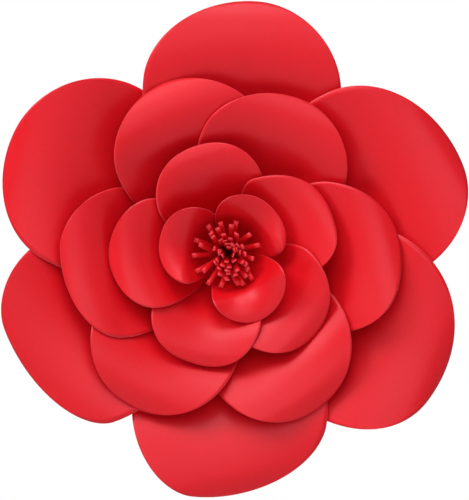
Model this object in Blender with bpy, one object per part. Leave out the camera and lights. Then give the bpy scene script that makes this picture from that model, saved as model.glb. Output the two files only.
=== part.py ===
# Giant paper flower: cupped card petals in four overlapping rings on a round card backing that
# goes against the wall, with a rolled fringed strip in the middle.
# Metres. The flower faces -Y with +Z up. The origin is the centre of the backing's rear face.
from math import atan2, cos, hypot, pi, radians, sin, sqrt

import bmesh
import bpy

# Card stock and how its layers are stacked
CARD_THICKNESS = 0.0004
GLUE_GAP = 0.0003
BACKING_RADIUS = 0.040
BACKING_THICKNESS = 0.002

# Height that a petal gains over the neighbour it overlaps, at their glued feet
STEP_AT_FOOT = 0.0008

# Near its rim a petal's sides follow the cup by this share, and the face runs straight otherwise
CUP_SHARE = 0.2

# Faces along the foot half, along the end half and across one petal. Rows crowd at the foot.
FOOT_ROWS = 6
END_ROWS = 6
PETAL_COLUMNS = 8
FOOT_ROW_CROWDING = 1.5

# Rings from the back to the front. A petal lies flat to flat_radius and bends up over the length
# bend to its slope. Each roll bends it back from a start with a radius, and a negative radius eases
# the bend. Past cup_end its sides straighten. step_growth is the height per metre outwards that it
# gains over the neighbour it overlaps.
# Each petal: azimuth from +X towards +Z, reach from the centre to its end, distance of its
# widest place from the centre, half widths on its counter-clockwise and clockwise sides, how
# round its end is (2 is an ellipse), and the turn of its roll from its own direction.
# The order is clockwise, seen from the front.
OUTER_RING = {
    "name": "outer_petal",
    "foot_start": 0.014, "foot_half_width": 0.022,
    "flat_radius": 0.020, "bend": 0.044, "slope": 0.52,
    "rolls": ((0.130, 0.098), (0.187, 0.045)), "cup_end": 0.136, "step_growth": 0.060,
    "petals": (
        dict(azimuth=82, reach=0.204, widest_at=0.132, ccw=0.087, cw=0.073, round=1.91, turn=8),
        dict(azimuth=20, reach=0.202, widest_at=0.125, ccw=0.094, cw=0.068, round=1.96, turn=10),
        dict(azimuth=-36, reach=0.200, widest_at=0.115, ccw=0.094, cw=0.066, round=2.09, turn=14),
        dict(azimuth=-99, reach=0.198, widest_at=0.125, ccw=0.100, cw=0.058, round=1.80, turn=22),
        dict(azimuth=-162, reach=0.190, widest_at=0.130, ccw=0.101, cw=0.057, round=1.80, turn=18),
        dict(azimuth=148, reach=0.198, widest_at=0.128, ccw=0.083, cw=0.075, round=1.93, turn=18),
    ),
}
SECOND_RING = {
    "name": "second_petal",
    "foot_start": 0.012, "foot_half_width": 0.018,
    "flat_radius": 0.018, "bend": 0.034, "slope": 0.80,
    "rolls": ((0.095, 0.042), (0.128, 0.070)), "cup_end": 0.086, "step_growth": 0.085,
    "petals": (
        dict(azimuth=110, reach=0.146, widest_at=0.089, ccw=0.062, cw=0.063, round=1.89, turn=2),
        dict(azimuth=61, reach=0.137, widest_at=0.080, ccw=0.066, cw=0.058, round=1.92, turn=9),
        dict(azimuth=-8, reach=0.140, widest_at=0.074, ccw=0.068, cw=0.054, round=2.20, turn=20),
        dict(azimuth=-64, reach=0.145, widest_at=0.082, ccw=0.063, cw=0.058, round=2.05, turn=10),
        dict(azimuth=-125, reach=0.146, widest_at=0.086, ccw=0.059, cw=0.061, round=2.03, turn=10),
        dict(azimuth=178, reach=0.135, widest_at=0.085, ccw=0.071, cw=0.050, round=1.84, turn=7),
    ),
}
THIRD_RING = {
    "name": "third_petal",
    "foot_start": 0.008, "foot_half_width": 0.011,
    "flat_radius": 0.012, "bend": 0.020, "slope": 1.35,
    "rolls": ((0.044, 0.022), (0.056, -0.055), (0.080, 0.050)), "cup_end": 0.045, "step_growth": 0.150,
    "petals": (
        dict(azimuth=104, reach=0.090, widest_at=0.048, ccw=0.046, cw=0.042, round=2.16, turn=3),
        dict(azimuth=14, reach=0.089, widest_at=0.034, ccw=0.053, cw=0.035, round=2.43, turn=14),
        dict(azimuth=-46, reach=0.096, widest_at=0.046, ccw=0.048, cw=0.042, round=2.14, turn=6),
        dict(azimuth=-110, reach=0.093, widest_at=0.051, ccw=0.045, cw=0.043, round=2.32, turn=8),
        dict(azimuth=-179, reach=0.096, widest_at=0.060, ccw=0.043, cw=0.045, round=1.85, turn=5),
    ),
}
INNER_RING = {
    "name": "inner_petal",
    "foot_start": 0.004, "foot_half_width": 0.010,
    "flat_radius": 0.0105, "bend": 0.009, "slope": 2.66,
    "rolls": ((0.025, 0.00575), (0.036, -0.0078)), "cup_end": 0.026, "step_growth": 0.175,
    "petals": (
        dict(azimuth=162, reach=0.056, widest_at=0.027, ccw=0.034, cw=0.028, round=2.09, turn=8),
        dict(azimuth=55, reach=0.051, widest_at=0.027, ccw=0.028, cw=0.035, round=1.89, turn=-5),
        dict(azimuth=-62, reach=0.060, widest_at=0.032, ccw=0.0325, cw=0.029, round=1.90, turn=-3),
    ),
}
RINGS = (OUTER_RING, SECOND_RING, THIRD_RING, INNER_RING)

# Centre: a strip with a fringed edge, rolled into a coil that stands on the inner petals' feet
COIL_RADIUS = 0.0090
COIL_BAND = 0.018
COIL_TURNS = 4
TURN_SPACING = 0.0022
STRIP_ROOT_DEPTH = 0.0035

# Fringe strips: those of the outer turn are the longest and lean out the most, in degrees
STRIP_WIDTH = 0.0038
STRIP_PITCH = 0.0044
STRIP_LENGTH = 0.036
LENGTH_LOSS_PER_TURN = 0.0035
LENGTH_VARIATION = 0.002
OUTER_LEAN = 62
LEAN_LOSS_PER_TURN = 14
LEAN_VARIATION = 5
LEAN_GROWTH = 1.4
TIP_CURL = 60
TIP_CURL_START = 0.75
SIDEWAYS_DRIFT = 9
STRIP_ROWS = 7

PETAL_COLOUR = (0.752, 0.016, 0.029, 1.0)
BACKING_COLOUR = (0.62, 0.015, 0.026, 1.0)
FRINGE_COLOUR = (0.80, 0.030, 0.040, 1.0)


def clear_scene():
    for old in list(bpy.data.objects):
        bpy.data.objects.remove(old, do_unlink=True)


def card_material(name, colour, roughness):
    material = bpy.data.materials.new(name)
    material.use_nodes = True
    shader = material.node_tree.nodes["Principled BSDF"]
    shader.inputs["Base Color"].default_value = colour
    shader.inputs["Roughness"].default_value = roughness
    shader.inputs["Metallic"].default_value = 0.0
    return material


def add_part(name, bm, material):
    mesh = bpy.data.meshes.new(name)
    bm.to_mesh(mesh)
    bm.free()
    mesh.shade_smooth()
    mesh.set_sharp_from_angle(angle=radians(35))
    mesh.materials.append(material)
    part = bpy.data.objects.new(name, mesh)
    bpy.context.collection.objects.link(part)
    return part


def give_card_thickness(part):
    card = part.modifiers.new("card", "SOLIDIFY")
    card.thickness = CARD_THICKNESS
    card.offset = 0.0


def petal_step(ring, radius):
    return STEP_AT_FOOT + ring["step_growth"] * max(0.0, radius - ring["flat_radius"])


def petal_twist(ring, out, side):
    # The pinwheel: a petal's clockwise side lies under its neighbour, its other side over the next
    pitch = 2 * pi / len(ring["petals"])
    return petal_step(ring, hypot(out, side)) * atan2(side, out) / pitch


def foot_twist(ring, radius):
    # Height of the foot's raised corner, where another piece reaches out to this radius
    corner_angle = atan2(ring["foot_half_width"], ring["foot_start"])
    return petal_step(ring, radius) * corner_angle * len(ring["petals"]) / (2 * pi)


def ring_foot(index):
    # Each ring's feet lie over the raised foot corners of the ring behind
    height = BACKING_THICKNESS + GLUE_GAP + CARD_THICKNESS / 2
    for behind, ring in zip((None, *RINGS[:index]), RINGS[:index + 1]):
        corner_radius = hypot(ring["foot_start"], ring["foot_half_width"])
        height += foot_twist(ring, corner_radius)
        if behind:
            height += foot_twist(behind, corner_radius) + CARD_THICKNESS + GLUE_GAP
    return height


def cup_rise(ring, radius):
    # Flat, then an even bend, then a straight slope
    past = max(0.0, radius - ring["flat_radius"])
    if past < ring["bend"]:
        return ring["slope"] * past * past / (2 * ring["bend"])
    return ring["slope"] * (past - ring["bend"] / 2)


def petal_plan(ring, petal, along, across):
    # Place seen from the front: along runs 0 to 1 from foot to end, across -1 to 1 clockwise side first
    half_width = petal["ccw"] if across > 0 else petal["cw"]
    foot_share = FOOT_ROWS / (FOOT_ROWS + END_ROWS)
    if along < foot_share:
        part = (along / foot_share) ** FOOT_ROW_CROWDING
        out = ring["foot_start"] + (petal["widest_at"] - ring["foot_start"]) * part
        narrowing = (half_width - ring["foot_half_width"]) * (1 - part) ** 2
        return out, across * (half_width - narrowing)
    power = petal["round"]
    part = (along - foot_share) / (1 - foot_share)
    end_length = petal["reach"] - petal["widest_at"]
    out = petal["widest_at"] + end_length * part * (1 - abs(across) ** power / 2) ** (1 / power)
    return out, half_width * across * (1 - part ** power / 2) ** (1 / power)


def petal_height(ring, petal, out, side):
    # Height over the foot: the cup's rise and the pinwheel's twist, less the rolls at the end
    beyond = max(0.0, hypot(out, side) - ring["cup_end"]) / (petal["reach"] - ring["cup_end"])
    cup_radius = hypot(out, side * sqrt(1 - (1 - CUP_SHARE) * beyond))
    height = cup_rise(ring, cup_radius) + petal_twist(ring, out, side)
    turn = radians(petal["turn"])
    for start, radius in ring["rolls"]:
        rolled = max(0.0, (out - start) * cos(turn) + side * sin(turn))
        height -= rolled * rolled / (2 * radius)
    return height


def make_petal(index, number, material):
    ring = RINGS[index]
    petal = ring["petals"][number]
    bm = bmesh.new()
    bmesh.ops.create_grid(bm, x_segments=FOOT_ROWS + END_ROWS, y_segments=PETAL_COLUMNS, size=1.0)
    for vertex in bm.verts:
        out, side = petal_plan(ring, petal, (vertex.co.x + 1) / 2, vertex.co.y)
        vertex.co = (out, -petal_height(ring, petal, out, side), side)
    part = add_part(f"{ring['name']}_{number + 1}", bm, material)
    give_card_thickness(part)
    part.location.y = -ring_foot(index)
    part.rotation_euler.y = -radians(petal["azimuth"])


def make_disc(name, radius, depth, rear, material):
    # A round solid whose rear face lies at the height rear over the wall
    bm = bmesh.new()
    bmesh.ops.create_cone(bm, cap_ends=True, segments=72, radius1=radius, radius2=radius, depth=depth)
    part = add_part(name, bm, material)
    part.rotation_euler.x = pi / 2
    part.location.y = -rear - depth / 2
    return part


def fringe_base():
    # The coil stands on the inner petals' feet, over the highest place under its rim
    under_rim = cup_rise(INNER_RING, COIL_RADIUS) + foot_twist(INNER_RING, COIL_RADIUS)
    return ring_foot(len(RINGS) - 1) + under_rim + CARD_THICKNESS / 2 + GLUE_GAP


def strip_path(turn, variation):
    # Points of one fringe strip: distance from the coil's axis and height over the coil's band
    length = STRIP_LENGTH - LENGTH_LOSS_PER_TURN * turn + LENGTH_VARIATION * variation
    lean = OUTER_LEAN - LEAN_LOSS_PER_TURN * turn + LEAN_VARIATION * variation
    out = COIL_RADIUS - CARD_THICKNESS - TURN_SPACING * turn
    up = -STRIP_ROOT_DEPTH
    points = [(out, up)]
    for row in range(STRIP_ROWS):
        share = (row + 0.5) / STRIP_ROWS
        curl = TIP_CURL * max(0.0, share - TIP_CURL_START) / (1 - TIP_CURL_START)
        angle = radians(lean * share ** LEAN_GROWTH + curl)
        out += length / STRIP_ROWS * sin(angle)
        up += length / STRIP_ROWS * cos(angle)
        points.append((out, up))
    return points


def add_strip(bm, path, azimuth, drift):
    made = bmesh.ops.create_grid(bm, x_segments=STRIP_ROWS, y_segments=1, size=1.0)
    for vertex in made["verts"]:
        row = round((vertex.co.x + 1) / 2 * STRIP_ROWS)
        across = vertex.co.y * STRIP_WIDTH / 2
        out, up = path[row]
        angle = azimuth + drift * (row / STRIP_ROWS) ** 2
        x = out * cos(angle) - across * sin(angle)
        z = out * sin(angle) + across * cos(angle)
        vertex.co = (x, -up, z)


def make_fringe_strips(material):
    bm = bmesh.new()
    for turn in range(COIL_TURNS):
        count = int(2 * pi * (COIL_RADIUS - TURN_SPACING * turn) / STRIP_PITCH)
        for number in range(count):
            azimuth = 2 * pi * (number + turn / 2) / count
            drift = radians(SIDEWAYS_DRIFT) * cos(1.7 * number + turn)
            add_strip(bm, strip_path(turn, sin(2.4 * number + 1.3 * turn)), azimuth, drift)
    strips = add_part("fringe_strips", bm, material)
    give_card_thickness(strips)
    strips.location.y = -fringe_base() - COIL_BAND
    strips.hide_render = True
    strips.display_type = "WIRE"
    return strips


def make_fringe(material):
    # The rolled strip is one piece of card, so its coil and its fringe are one solid
    coil = make_disc("fringe_center", COIL_RADIUS, COIL_BAND, fringe_base(), material)
    fringed = coil.modifiers.new("fringe", "BOOLEAN")
    fringed.operation = "UNION"
    fringed.object = make_fringe_strips(material)


clear_scene()
petal_card = card_material("petal_card", PETAL_COLOUR, 0.55)
for ring_index, petal_ring in enumerate(RINGS):
    for petal_number in range(len(petal_ring["petals"])):
        make_petal(ring_index, petal_number, petal_card)
make_disc("backing_disc", BACKING_RADIUS, BACKING_THICKNESS, 0.0,
          card_material("backing_card", BACKING_COLOUR, 0.7))
make_fringe(card_material("fringe_card", FRINGE_COLOUR, 0.6))
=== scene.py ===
from math import atan2, cos, hypot, pi, radians, sin, sqrt

import bmesh
import bpy
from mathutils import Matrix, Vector


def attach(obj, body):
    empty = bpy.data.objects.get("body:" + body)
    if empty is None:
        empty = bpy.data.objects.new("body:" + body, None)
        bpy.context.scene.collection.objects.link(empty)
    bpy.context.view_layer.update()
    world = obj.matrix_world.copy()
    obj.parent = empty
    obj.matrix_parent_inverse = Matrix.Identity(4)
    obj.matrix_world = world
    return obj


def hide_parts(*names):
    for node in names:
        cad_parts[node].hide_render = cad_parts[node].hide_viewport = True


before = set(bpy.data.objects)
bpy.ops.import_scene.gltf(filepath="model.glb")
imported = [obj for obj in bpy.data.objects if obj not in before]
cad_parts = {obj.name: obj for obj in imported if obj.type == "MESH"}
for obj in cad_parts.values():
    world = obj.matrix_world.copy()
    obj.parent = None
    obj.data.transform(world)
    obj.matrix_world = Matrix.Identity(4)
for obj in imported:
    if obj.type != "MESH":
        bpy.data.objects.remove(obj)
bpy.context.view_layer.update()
print("frame loaded:", len(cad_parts), "pieces of card")

scene = bpy.context.scene
scene.view_settings.view_transform = "Standard"

# All lengths are in metres and all angles in degrees, seen from the front
card = {
    "thickness": 0.0004, "glueGap": 0.0003, "backingDepth": 0.002,
    "stepAtFoot": 0.0008,  # how far a petal's two sides are apart at its foot
    "cupShare": 0.2,  # how much of the cup across a petal is left at its rim
}

# A petal is cut to its outline, cupped at the foot and rolled back at the rim.
# Each roll is where it starts and its radius; ccw and cw are the two half widths,
# round is how square the end is, and turn swings the rolls round from the petal's middle.
petalMesh = {"footRows": 26, "endRows": 30, "columns": 44, "footCrowding": 1.5, "farFromEdge": 0.02}
outerRing = {
    "name": "outer_petal", "footStart": 0.014, "footHalfWidth": 0.022, "flatRadius": 0.020,
    "bend": 0.044, "slope": 0.52, "rolls": ((0.130, 0.098), (0.187, 0.045)),
    "cupEnd": 0.136, "stepGrowth": 0.060,
    "petals": (
        {"azimuth": 82, "turn": 8, "round": 1.91,
         "reach": 0.204, "widestAt": 0.132, "ccw": 0.087, "cw": 0.073},
        {"azimuth": 20, "turn": 10, "round": 1.96,
         "reach": 0.202, "widestAt": 0.125, "ccw": 0.094, "cw": 0.068},
        {"azimuth": -36, "turn": 14, "round": 2.09,
         "reach": 0.200, "widestAt": 0.115, "ccw": 0.094, "cw": 0.066},
        {"azimuth": -99, "turn": 22, "round": 1.80,
         "reach": 0.198, "widestAt": 0.125, "ccw": 0.100, "cw": 0.058},
        {"azimuth": -162, "turn": 18, "round": 1.80,
         "reach": 0.190, "widestAt": 0.130, "ccw": 0.101, "cw": 0.057},
        {"azimuth": 148, "turn": 18, "round": 1.93,
         "reach": 0.198, "widestAt": 0.128, "ccw": 0.083, "cw": 0.075},
    ),
}
secondRing = {
    "name": "second_petal", "footStart": 0.012, "footHalfWidth": 0.018, "flatRadius": 0.018,
    "bend": 0.034, "slope": 0.80, "rolls": ((0.095, 0.042), (0.128, 0.070)),
    "cupEnd": 0.086, "stepGrowth": 0.085,
    "petals": (
        {"azimuth": 110, "turn": 2, "round": 1.89,
         "reach": 0.146, "widestAt": 0.089, "ccw": 0.062, "cw": 0.063},
        {"azimuth": 61, "turn": 9, "round": 1.92,
         "reach": 0.137, "widestAt": 0.080, "ccw": 0.066, "cw": 0.058},
        {"azimuth": -8, "turn": 20, "round": 2.20,
         "reach": 0.140, "widestAt": 0.074, "ccw": 0.068, "cw": 0.054},
        {"azimuth": -64, "turn": 10, "round": 2.05,
         "reach": 0.145, "widestAt": 0.082, "ccw": 0.063, "cw": 0.058},
        {"azimuth": -125, "turn": 10, "round": 2.03,
         "reach": 0.146, "widestAt": 0.086, "ccw": 0.059, "cw": 0.061},
        {"azimuth": 178, "turn": 7, "round": 1.84,
         "reach": 0.135, "widestAt": 0.085, "ccw": 0.071, "cw": 0.050},
    ),
}
thirdRing = {
    "name": "third_petal", "footStart": 0.008, "footHalfWidth": 0.011, "flatRadius": 0.012,
    "bend": 0.020, "slope": 1.35, "rolls": ((0.044, 0.022), (0.056, -0.055), (0.080, 0.050)),
    "cupEnd": 0.045, "stepGrowth": 0.150,
    "petals": (
        {"azimuth": 104, "turn": 3, "round": 2.16,
         "reach": 0.090, "widestAt": 0.048, "ccw": 0.046, "cw": 0.042},
        {"azimuth": 14, "turn": 14, "round": 2.43,
         "reach": 0.089, "widestAt": 0.034, "ccw": 0.053, "cw": 0.035},
        {"azimuth": -46, "turn": 6, "round": 2.14,
         "reach": 0.096, "widestAt": 0.046, "ccw": 0.048, "cw": 0.042},
        {"azimuth": -110, "turn": 8, "round": 2.32,
         "reach": 0.093, "widestAt": 0.051, "ccw": 0.045, "cw": 0.043},
        {"azimuth": -179, "turn": 5, "round": 1.85,
         "reach": 0.096, "widestAt": 0.060, "ccw": 0.043, "cw": 0.045},
    ),
}
innerRing = {
    "name": "inner_petal", "footStart": 0.004, "footHalfWidth": 0.010, "flatRadius": 0.0105,
    "bend": 0.009, "slope": 2.66, "rolls": ((0.025, 0.00575), (0.036, -0.0078)),
    "cupEnd": 0.026, "stepGrowth": 0.175,
    "petals": (
        {"azimuth": 162, "turn": 8, "round": 2.09,
         "reach": 0.056, "widestAt": 0.027, "ccw": 0.034, "cw": 0.028},
        {"azimuth": 55, "turn": -5, "round": 1.89,
         "reach": 0.051, "widestAt": 0.027, "ccw": 0.028, "cw": 0.035},
        {"azimuth": -62, "turn": -3, "round": 1.90,
         "reach": 0.060, "widestAt": 0.032, "ccw": 0.0325, "cw": 0.029},
    ),
}
rings = (outerRing, secondRing, thirdRing, innerRing)


def petalStep(ring, radius):  # how far a petal's two sides are apart in height
    return card["stepAtFoot"] + ring["stepGrowth"] * max(0.0, radius - ring["flatRadius"])


def petalTwist(ring, out, side):  # a petal's clockwise side lies under its neighbour
    turns = atan2(side, out) / (2 * pi)
    return petalStep(ring, hypot(out, side)) * turns * len(ring["petals"])


def footTwist(ring, radius):
    cornerAngle = atan2(ring["footHalfWidth"], ring["footStart"])
    return petalStep(ring, radius) * cornerAngle / (2 * pi) * len(ring["petals"])


def ringFoot(index):  # height of a ring's feet over the wall
    height = card["backingDepth"] + card["glueGap"] + card["thickness"] / 2
    for behind, ring in zip((None, *rings[:index]), rings[:index + 1]):
        cornerRadius = hypot(ring["footStart"], ring["footHalfWidth"])
        height += footTwist(ring, cornerRadius)
        if behind:
            height += footTwist(behind, cornerRadius) + card["thickness"] + card["glueGap"]
    return height


def cupRise(ring, radius):
    past = max(0.0, radius - ring["flatRadius"])
    if past < ring["bend"]:
        return ring["slope"] * past * past / (2 * ring["bend"])
    return ring["slope"] * (past - ring["bend"] / 2)


def petalPlan(ring, petal, along, across):  # place on the sheet, out from the axis and to the side
    halfWidth = petal["ccw"] if across > 0 else petal["cw"]
    footShare = petalMesh["footRows"] / (petalMesh["footRows"] + petalMesh["endRows"])
    if along < footShare:
        part = (along / footShare) ** petalMesh["footCrowding"]
        out = ring["footStart"] + (petal["widestAt"] - ring["footStart"]) * part
        return out, across * (halfWidth - (halfWidth - ring["footHalfWidth"]) * (1 - part) ** 2)
    power = petal["round"]
    part = (along - footShare) / (1 - footShare)
    endLength = petal["reach"] - petal["widestAt"]
    out = petal["widestAt"] + endLength * part * (1 - abs(across) ** power / 2) ** (1 / power)
    return out, halfWidth * across * (1 - part ** power / 2) ** (1 / power)


def petalHeight(ring, petal, out, side):  # cup and pinwheel twist, less the rolls at the rim
    beyond = max(0.0, hypot(out, side) - ring["cupEnd"]) / (petal["reach"] - ring["cupEnd"])
    cupRadius = hypot(out, side * sqrt(1 - (1 - card["cupShare"]) * beyond))
    turn = radians(petal["turn"])
    height = cupRise(ring, cupRadius) + petalTwist(ring, out, side)
    for start, radius in ring["rolls"]:
        rolled = max(0.0, (out - start) * cos(turn) + side * sin(turn))
        height -= rolled * rolled / (2 * radius)
    return height


def finishMesh(name, bm, materials, node):
    mesh = bpy.data.meshes.new(name)
    bm.to_mesh(mesh)
    bm.free()
    mesh.shade_smooth()
    for material in materials:
        mesh.materials.append(material)
    piece = bpy.data.objects.new(name, mesh)
    scene.collection.objects.link(piece)
    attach(piece, "root")
    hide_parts(node)
    return piece


def giveThickness(piece, thickness):  # the second material goes on the cut edge
    wall = piece.modifiers.new("cardThickness", "SOLIDIFY")
    wall.thickness = thickness
    wall.offset = 0.0
    wall.material_offset_rim = 1


def writeEdgeDistance(bm, inFromEdge):  # keeps each vertex's distance from the cut edge in a UV map, for the paler edge with its painted highlight
    wear = bm.loops.layers.uv.new("wear")
    for face in bm.faces:
        for loop in face.loops:
            loop[wear].uv = (inFromEdge[loop.vert], 0.0)


def buildPetal(index, number, materials):
    ring = rings[index]
    petal = ring["petals"][number]
    rows = petalMesh["footRows"] + petalMesh["endRows"]
    azimuth = radians(petal["azimuth"])
    foot = ringFoot(index)
    bm = bmesh.new()
    bmesh.ops.create_grid(bm, x_segments=rows, y_segments=petalMesh["columns"], size=1.0)
    for vertex in bm.verts:
        out, side = petalPlan(ring, petal, (vertex.co.x + 1) / 2, vertex.co.y)
        height = foot + petalHeight(ring, petal, out, side)
        right = out * cos(azimuth) - side * sin(azimuth)
        up = out * sin(azimuth) + side * cos(azimuth)
        vertex.co = (right, -height, up)
    inFromEdge = {}
    for vertex in bm.verts:
        toEdge = [edge.calc_length() for edge in vertex.link_edges if edge.other_vert(vertex).is_boundary]
        inFromEdge[vertex] = 0.0 if vertex.is_boundary else min(toEdge, default=petalMesh["farFromEdge"])
    writeEdgeDistance(bm, inFromEdge)
    bmesh.ops.recalc_face_normals(bm, faces=bm.faces)
    name = f"{ring['name']}_{number + 1}"
    piece = finishMesh(f"card_{name}", bm, materials, name)
    giveThickness(piece, card["thickness"])


# The card: dyed through, a fibrous felt side with a fine tooth, and a slight satin gloss
cardLook = {
    "colour": (0.715, 0.004, 0.010), "roughness": 0.40, "roughnessSpread": 0.05,
    "gloss": 0.31, "glossTint": (1.0, 0.85, 1.0, 1.0),
    "cloudScale": 14, "cloudDetail": 3, "cloudTone": 0.025,
    "fibreScale": 900, "fibreDetail": 4, "fibreRoughness": 0.65, "fibreStretch": (1.0, 1.0, 0.28),
    "fibreTone": 0.05,
    "grainScale": 2600, "grainDetail": 2, "grainShare": 0.5,
    "toothStrength": 0.35, "toothDepth": 0.00008,
}
noiseRange = (0.25, 0.75)  # nearly all of a noise texture's values lie between these


def newMaterial(name, colour, roughness):
    material = bpy.data.materials.new(name)
    material.use_nodes = True
    shader = material.node_tree.nodes["Principled BSDF"]
    shader.inputs["Base Color"].default_value = (*colour, 1.0)
    shader.inputs["Roughness"].default_value = roughness
    return material, shader


def noiseNode(tree, coords, scale, detail):
    node = tree.nodes.new("ShaderNodeTexNoise")
    node.inputs["Scale"].default_value = scale
    node.inputs["Detail"].default_value = detail
    tree.links.new(coords, node.inputs["Vector"])
    return node


def spread(tree, value, low, high):  # maps a noise value to a range
    node = tree.nodes.new("ShaderNodeMapRange")
    node.inputs["From Min"].default_value, node.inputs["From Max"].default_value = noiseRange
    node.inputs["To Min"].default_value = low
    node.inputs["To Max"].default_value = high
    tree.links.new(value, node.inputs["Value"])
    return node.outputs["Result"]


def edgeWearAndPaintedHighlight(tree, cardColour, look):  # the card is paler along the cut edge: partly dye rubbed off, partly a painted highlight where the edge catches the light
    fromEdge = tree.nodes.new("ShaderNodeSeparateXYZ")
    tree.links.new(tree.nodes.new("ShaderNodeUVMap").outputs["UV"], fromEdge.inputs["Vector"])
    wearAndHighlight = tree.nodes.new("ShaderNodeMapRange")
    wearAndHighlight.inputs["From Max"].default_value = look["wearAndHighlightWidth"]
    wearAndHighlight.inputs["To Min"].default_value = look["wearAndHighlightAmount"]
    wearAndHighlight.inputs["To Max"].default_value = 0.0
    tree.links.new(fromEdge.outputs["X"], wearAndHighlight.inputs["Value"])
    blend = tree.nodes.new("ShaderNodeMix")
    blend.data_type = "RGBA"
    blend.inputs["B"].default_value = (*look["wearAndHighlightColour"], 1.0)
    tree.links.new(wearAndHighlight.outputs["Result"], blend.inputs["Factor"])
    tree.links.new(cardColour, blend.inputs["A"])
    return blend.outputs["Result"]


def cardMaterial(name, look):
    material, shader = newMaterial(name, look["colour"], look["roughness"])
    tree = material.node_tree
    place = tree.nodes.new("ShaderNodeTexCoord").outputs["Object"]
    lengthwise = tree.nodes.new("ShaderNodeMapping")
    lengthwise.inputs["Scale"].default_value = look["fibreStretch"]
    tree.links.new(place, lengthwise.inputs["Vector"])
    clouds = noiseNode(tree, place, look["cloudScale"], look["cloudDetail"]).outputs["Fac"]
    grain = noiseNode(tree, place, look["grainScale"], look["grainDetail"]).outputs["Fac"]
    fibreNode = noiseNode(tree, lengthwise.outputs["Vector"], look["fibreScale"], look["fibreDetail"])
    fibreNode.inputs["Roughness"].default_value = look["fibreRoughness"]
    fibres = fibreNode.outputs["Fac"]

    # soft clouds in the dye, and fibres that took a little more or less of it
    tone = tree.nodes.new("ShaderNodeMath")
    tone.operation = "MULTIPLY"
    cloudTone, fibreTone = look["cloudTone"], look["fibreTone"]
    tree.links.new(spread(tree, clouds, 1 - cloudTone, 1 + cloudTone), tone.inputs[0])
    tree.links.new(spread(tree, fibres, 1 - fibreTone, 1 + fibreTone), tone.inputs[1])
    dye = tree.nodes.new("ShaderNodeVectorMath")
    dye.operation = "SCALE"
    dye.inputs[0].default_value = look["colour"]
    tree.links.new(tone.outputs[0], dye.inputs["Scale"])
    cardColour = dye.outputs["Vector"]
    # paler band at the cut edge: partly wear, partly a painted highlight
    if "wearAndHighlightWidth" in look:
        cardColour = edgeWearAndPaintedHighlight(tree, cardColour, look)
    tree.links.new(cardColour, shader.inputs["Base Color"])

    smoothest = look["roughness"] - look["roughnessSpread"]
    roughest = look["roughness"] + look["roughnessSpread"]
    tree.links.new(spread(tree, clouds, smoothest, roughest), shader.inputs["Roughness"])

    # the felt side's tooth: fibres and a finer grain between them
    tooth = tree.nodes.new("ShaderNodeMath")
    tooth.operation = "MULTIPLY_ADD"
    tooth.inputs[1].default_value = look["grainShare"]
    tree.links.new(grain, tooth.inputs[0])
    tree.links.new(fibres, tooth.inputs[2])
    bump = tree.nodes.new("ShaderNodeBump")
    bump.inputs["Strength"].default_value = look["toothStrength"]
    bump.inputs["Distance"].default_value = look["toothDepth"]
    tree.links.new(tooth.outputs[0], bump.inputs["Height"])
    tree.links.new(bump.outputs["Normal"], shader.inputs["Normal"])

    shader.inputs["Specular IOR Level"].default_value = look["gloss"]
    shader.inputs["Specular Tint"].default_value = look["glossTint"]
    return material


# Petals: about a millimetre along the cut edge is painted paler, partly wear and partly a painted highlight
petalLook = {**cardLook, "wearAndHighlightWidth": 0.0009, "wearAndHighlightAmount": 0.4, "wearAndHighlightColour": (0.82, 0.10, 0.13)}
# Fringe: the strips' tips are painted paler, partly dye scraped off at the curl and partly a painted highlight
# where the curl faces the light
fringeLook = {
    **cardLook, "colour": (0.73, 0.006, 0.013),
    "wearAndHighlightWidth": 0.0022, "wearAndHighlightAmount": 1.0, "wearAndHighlightColour": (0.79, 0.05, 0.068),
}
backingLook = {**cardLook, "colour": (0.62, 0.008, 0.016), "roughness": 0.72, "gloss": 0.2, "fibreTone": 0.09}
# The cut edge is painted paler than the faces: partly fibre fuzz, partly a painted highlight along the rim
cutEdgeLook = {**cardLook, "colour": (0.80, 0.07, 0.09), "roughness": 0.80, "gloss": 0.2, "toothStrength": 0.6}
petalCard = cardMaterial("petalCard", petalLook)
fringeCard = cardMaterial("fringeCard", fringeLook)
backingCard = cardMaterial("backingCard", backingLook)
cutEdge = cardMaterial("cutEdge", cutEdgeLook)
print("card dyed: petals, fringe, backing and cut edges")

for ringIndex, petalRing in enumerate(rings):
    for petalNumber in range(len(petalRing["petals"])):
        buildPetal(ringIndex, petalNumber, (petalCard, cutEdge))
print("petals rolled:", sum(len(ring["petals"]) for ring in rings))


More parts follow.
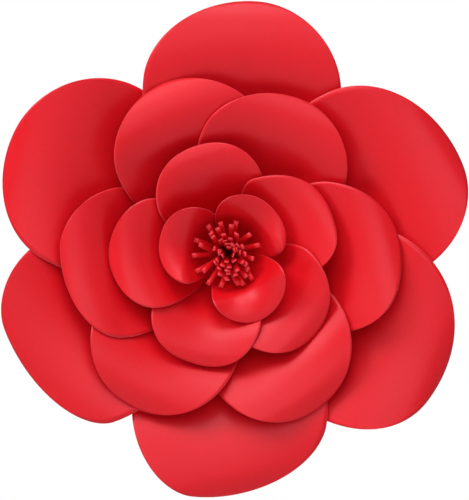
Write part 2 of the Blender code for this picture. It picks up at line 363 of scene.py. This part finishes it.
# The fringe: one strip of card, cut along an edge, rolled into a coil and bent outwards
fringe = {
    "coilRadius": 0.0090, "band": 0.018, "turnSpacing": 0.0010, "slit": 0.0003, "thickness": 0.0003,
    "length": 0.034, "rows": 16, "bandRows": 2, "stripColumns": 2,
    "leanGrowth": 0.5, "driftGrowth": 1.3,  # how soon a strip takes up its lean and its drift sideways
    "leanLimit": 125.0, "leanHalvings": 24, "flattening": 3,
    "tipCurls": (85, 75, 55, 40, 35, 35, 35), "curlStart": 0.87,
    "curlVariation": 12, "curlBeat": (2.4, 1.3),
    # for each turn: where its first strip is rooted, and each tip's direction and millimetres from the axis
    "turns": (
        (184, ((184, 29.0), (158, 29.5), (126, 27.8), (104, 25.8), (75, 26.7), (40, 24.0), (14, 26.7),
               (-13, 21.5), (-47, 29.4), (-64, 29.0), (-102, 28.3), (-123, 30.5), (-150, 30.2))),
        (175, ((163, 24.4), (130, 22.0), (113, 22.2), (83, 23.4), (66, 17.6), (24, 13.8), (-40, 21.8),
               (-52, 24.9), (-71, 27.5), (-91, 22.4), (-143, 25.4))),
        (165, ((162, 12.3), (133, 18.5), (104, 16.1), (81, 12.4), (-4, 14.6), (-33, 18.4), (-72, 19.6),
               (-89, 17.5), (-110, 19.6), (-145, 11.0))),
        (125, ((119, 12.5), (60, 8.6), (38, 10.6), (3, 10.1), (-62, 16.7), (-92, 14.8), (-143, 13.5),
               (181, 7.8))),
        (105, ((104, 10.4), (59, 7.5), (24, 8.0), (-32, 14.5), (-84, 12.2), (-119, 14.9), (170, 8.2))),
        (94, ((94, 7.8), (24, 6.2), (-52, 8.6), (-113, 11.7), (175, 6.5))),
        (81, ((81, 5.3), (-25, 5.1), (-100, 7.8), (-150, 5.5))),
    ),
}


def fringeBase():  # height of the coil's foot, over the inner petals' feet
    underRim = cupRise(innerRing, fringe["coilRadius"]) + footTwist(innerRing, fringe["coilRadius"])
    return ringFoot(len(rings) - 1) + underRim + card["thickness"] / 2 + card["glueGap"]


def stripPath(root, lean, tipCurl):  # distance from the axis and height over the band, row by row
    points = [(root, 0.0)]
    out, up = points[0]
    step = fringe["length"] / fringe["rows"]
    for row in range(fringe["rows"]):
        share = (row + 0.5) / fringe["rows"]
        curl = tipCurl * max(0.0, share - fringe["curlStart"]) / (1 - fringe["curlStart"])
        angle = radians(lean * share ** fringe["leanGrowth"] + curl)
        out += step * sin(angle)
        up += step * cos(angle)
        points.append((out, up))
    return points


def leanFor(root, reach, tipCurl):  # the lean that brings a strip's tip to its reach
    low, high = 0.0, fringe["leanLimit"]
    for _ in range(fringe["leanHalvings"]):
        middle = (low + high) / 2
        if max(out for out, up in stripPath(root, middle, tipCurl)) < reach:
            low = middle
        else:
            high = middle
    return (low + high) / 2


def buildFringe(materials):
    bm = bmesh.new()
    inFromTip = {}
    base = fringeBase() + fringe["band"]
    allRows = fringe["rows"] + fringe["bandRows"]
    stripBeat, turnBeat = fringe["curlBeat"]
    for turn, (firstRoot, strips) in enumerate(fringe["turns"]):
        root = fringe["coilRadius"] - card["thickness"] - turn * fringe["turnSpacing"]
        pitch = 2 * pi / len(strips)
        width = root * pitch - fringe["slit"]
        for number, (tipAzimuth, reach) in enumerate(strips):
            rootAzimuth = radians(firstRoot) - number * pitch
            drift = (radians(tipAzimuth) - rootAzimuth + pi) % (2 * pi) - pi
            variation = fringe["curlVariation"] * sin(stripBeat * number + turnBeat * turn)
            tipCurl = fringe["tipCurls"][turn] + variation
            path = stripPath(root, leanFor(root, reach / 1000, tipCurl), tipCurl)
            made = bmesh.ops.create_grid(bm, x_segments=allRows, y_segments=fringe["stripColumns"], size=1.0)
            for vertex in made["verts"]:
                row = round((vertex.co.x + 1) / 2 * allRows) - fringe["bandRows"]
                out, up = path[row] if row > 0 else (root, row / fringe["bandRows"] * fringe["band"])
                share = max(0, row) / fringe["rows"]
                inFromTip[vertex] = (1 - share) * fringe["length"]
                across = vertex.co.y * width / 2
                flat = min(1.0, fringe["flattening"] * share)  # the coil's curve leaves the strip early on
                angle = rootAzimuth + drift * share ** fringe["driftGrowth"]
                curveAngle = across / root * (1 - flat)
                right = out * cos(angle + curveAngle) - across * flat * sin(angle)
                rise = out * sin(angle + curveAngle) + across * flat * cos(angle)
                vertex.co = (right, -base - up, rise)
    writeEdgeDistance(bm, inFromTip)
    bmesh.ops.recalc_face_normals(bm, faces=bm.faces)
    piece = finishMesh("card_fringe_center", bm, materials, "fringe_center")
    giveThickness(piece, fringe["thickness"])


buildFringe((fringeCard, cutEdge))
print("fringe rolled:", sum(len(strips) for firstRoot, strips in fringe["turns"]), "strips")

# The backing's own solid has the right shape, so it only gets its card
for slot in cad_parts["backing_disc"].material_slots:
    slot.material = backingCard
print("backing covered")


def seenByEye(tree):  # 1 for rays that show the background: from the camera, off gloss or through glass
    path = tree.nodes.new("ShaderNodeLightPath")
    answer = path.outputs["Is Camera Ray"]
    for rayKind in ("Is Glossy Ray", "Is Transmission Ray"):
        either = tree.nodes.new("ShaderNodeMath")
        either.operation = "MAXIMUM"
        tree.links.new(answer, either.inputs[0])
        tree.links.new(path.outputs[rayKind], either.inputs[1])
        answer = either.outputs[0]
    return answer


# A pale floor under the flower. Its glow is for the eye alone and lights nothing
stage = {"height": -0.32, "size": 2.6, "colour": (0.83, 0.83, 0.83), "roughness": 0.8, "glow": 0.38}
white = (1.0, 1.0, 1.0, 1.0)
bm = bmesh.new()
bmesh.ops.create_grid(bm, x_segments=1, y_segments=1, size=stage["size"] / 2)
floorMesh = bpy.data.meshes.new("floor")
bm.to_mesh(floorMesh)
bm.free()
floor = bpy.data.objects.new("floor", floorMesh)
floor.location.z = stage["height"]
scene.collection.objects.link(floor)
paleFloor, floorShader = newMaterial("paleFloor", stage["colour"], stage["roughness"])
floorMesh.materials.append(paleFloor)
glow = paleFloor.node_tree.nodes.new("ShaderNodeMath")
glow.operation = "MULTIPLY"
glow.inputs[1].default_value = stage["glow"]
paleFloor.node_tree.links.new(seenByEye(paleFloor.node_tree), glow.inputs[0])
paleFloor.node_tree.links.new(glow.outputs[0], floorShader.inputs["Emission Strength"])
floorShader.inputs["Emission Color"].default_value = white

# Round soft lamps, each aimed at the flower: rise over the horizon, and angle to the right of the camera
studio = {
    "lampDistance": 2.0, "ambient": 0.05, "backdrop": 1.0,
    "lamps": {
        "keyLeft": {"rise": 38, "right": -56, "size": 1.0, "power": 18.5},
        "keyTop": {"rise": 55, "right": -8, "size": 1.2, "power": 17},
        "front": {"rise": 17, "right": 2, "size": 1.7, "power": 13.5},
        "back": {"rise": 25, "right": 165, "size": 1.7, "power": 17},
    },
}
for lampName, lamp in studio["lamps"].items():
    light = bpy.data.lights.new(lampName, "AREA")
    light.shape = "DISK"
    light.size = lamp["size"]
    light.energy = lamp["power"]
    lampObject = bpy.data.objects.new(lampName, light)
    rise, right = radians(lamp["rise"]), radians(lamp["right"])
    toLamp = Vector((sin(right) * cos(rise), -cos(right) * cos(rise), sin(rise)))
    lampObject.location = toLamp * studio["lampDistance"]
    lampObject.rotation_euler = (-toLamp).to_track_quat("-Z", "Y").to_euler()
    scene.collection.objects.link(lampObject)

# The world lights the shade a little and shows as white behind the flower
world = bpy.data.worlds.new("studio")
world.use_nodes = True
scene.world = world
worldTree = world.node_tree
ambient = worldTree.nodes["Background"]
ambient.inputs["Color"].default_value = white
ambient.inputs["Strength"].default_value = studio["ambient"]
backdrop = worldTree.nodes.new("ShaderNodeBackground")
backdrop.inputs["Color"].default_value = white
backdrop.inputs["Strength"].default_value = studio["backdrop"]
whichWorld = worldTree.nodes.new("ShaderNodeMixShader")
worldTree.links.new(seenByEye(worldTree), whichWorld.inputs["Fac"])
worldTree.links.new(ambient.outputs[0], whichWorld.inputs[1])
worldTree.links.new(backdrop.outputs[0], whichWorld.inputs[2])
worldTree.links.new(whichWorld.outputs[0], worldTree.nodes["World Output"].inputs["Surface"])

# The photograph: its size and the flower's axis in pixels, and how long a pixel is where the rims are
photo = {"width": 469, "height": 500, "axis": (228.0, 253.0), "pixel": 0.00080957, "rims": 0.030}
cameraDistance = 5.0
cameraData = bpy.data.cameras.new("front")
seenHeight = photo["height"] * photo["pixel"]
cameraData.lens = cameraData.sensor_width * (cameraDistance - photo["rims"]) / seenHeight
camera = bpy.data.objects.new("front", cameraData)
cameraRight = (photo["width"] / 2 - photo["axis"][0]) * photo["pixel"]
cameraUp = (photo["axis"][1] - photo["height"] / 2) * photo["pixel"]
camera.location = (cameraRight, -cameraDistance, cameraUp)
camera.rotation_euler = (pi / 2, 0, 0)
scene.collection.objects.link(camera)
scene.camera = camera
print("lamps and camera set")

bpy.context.view_layer.update()
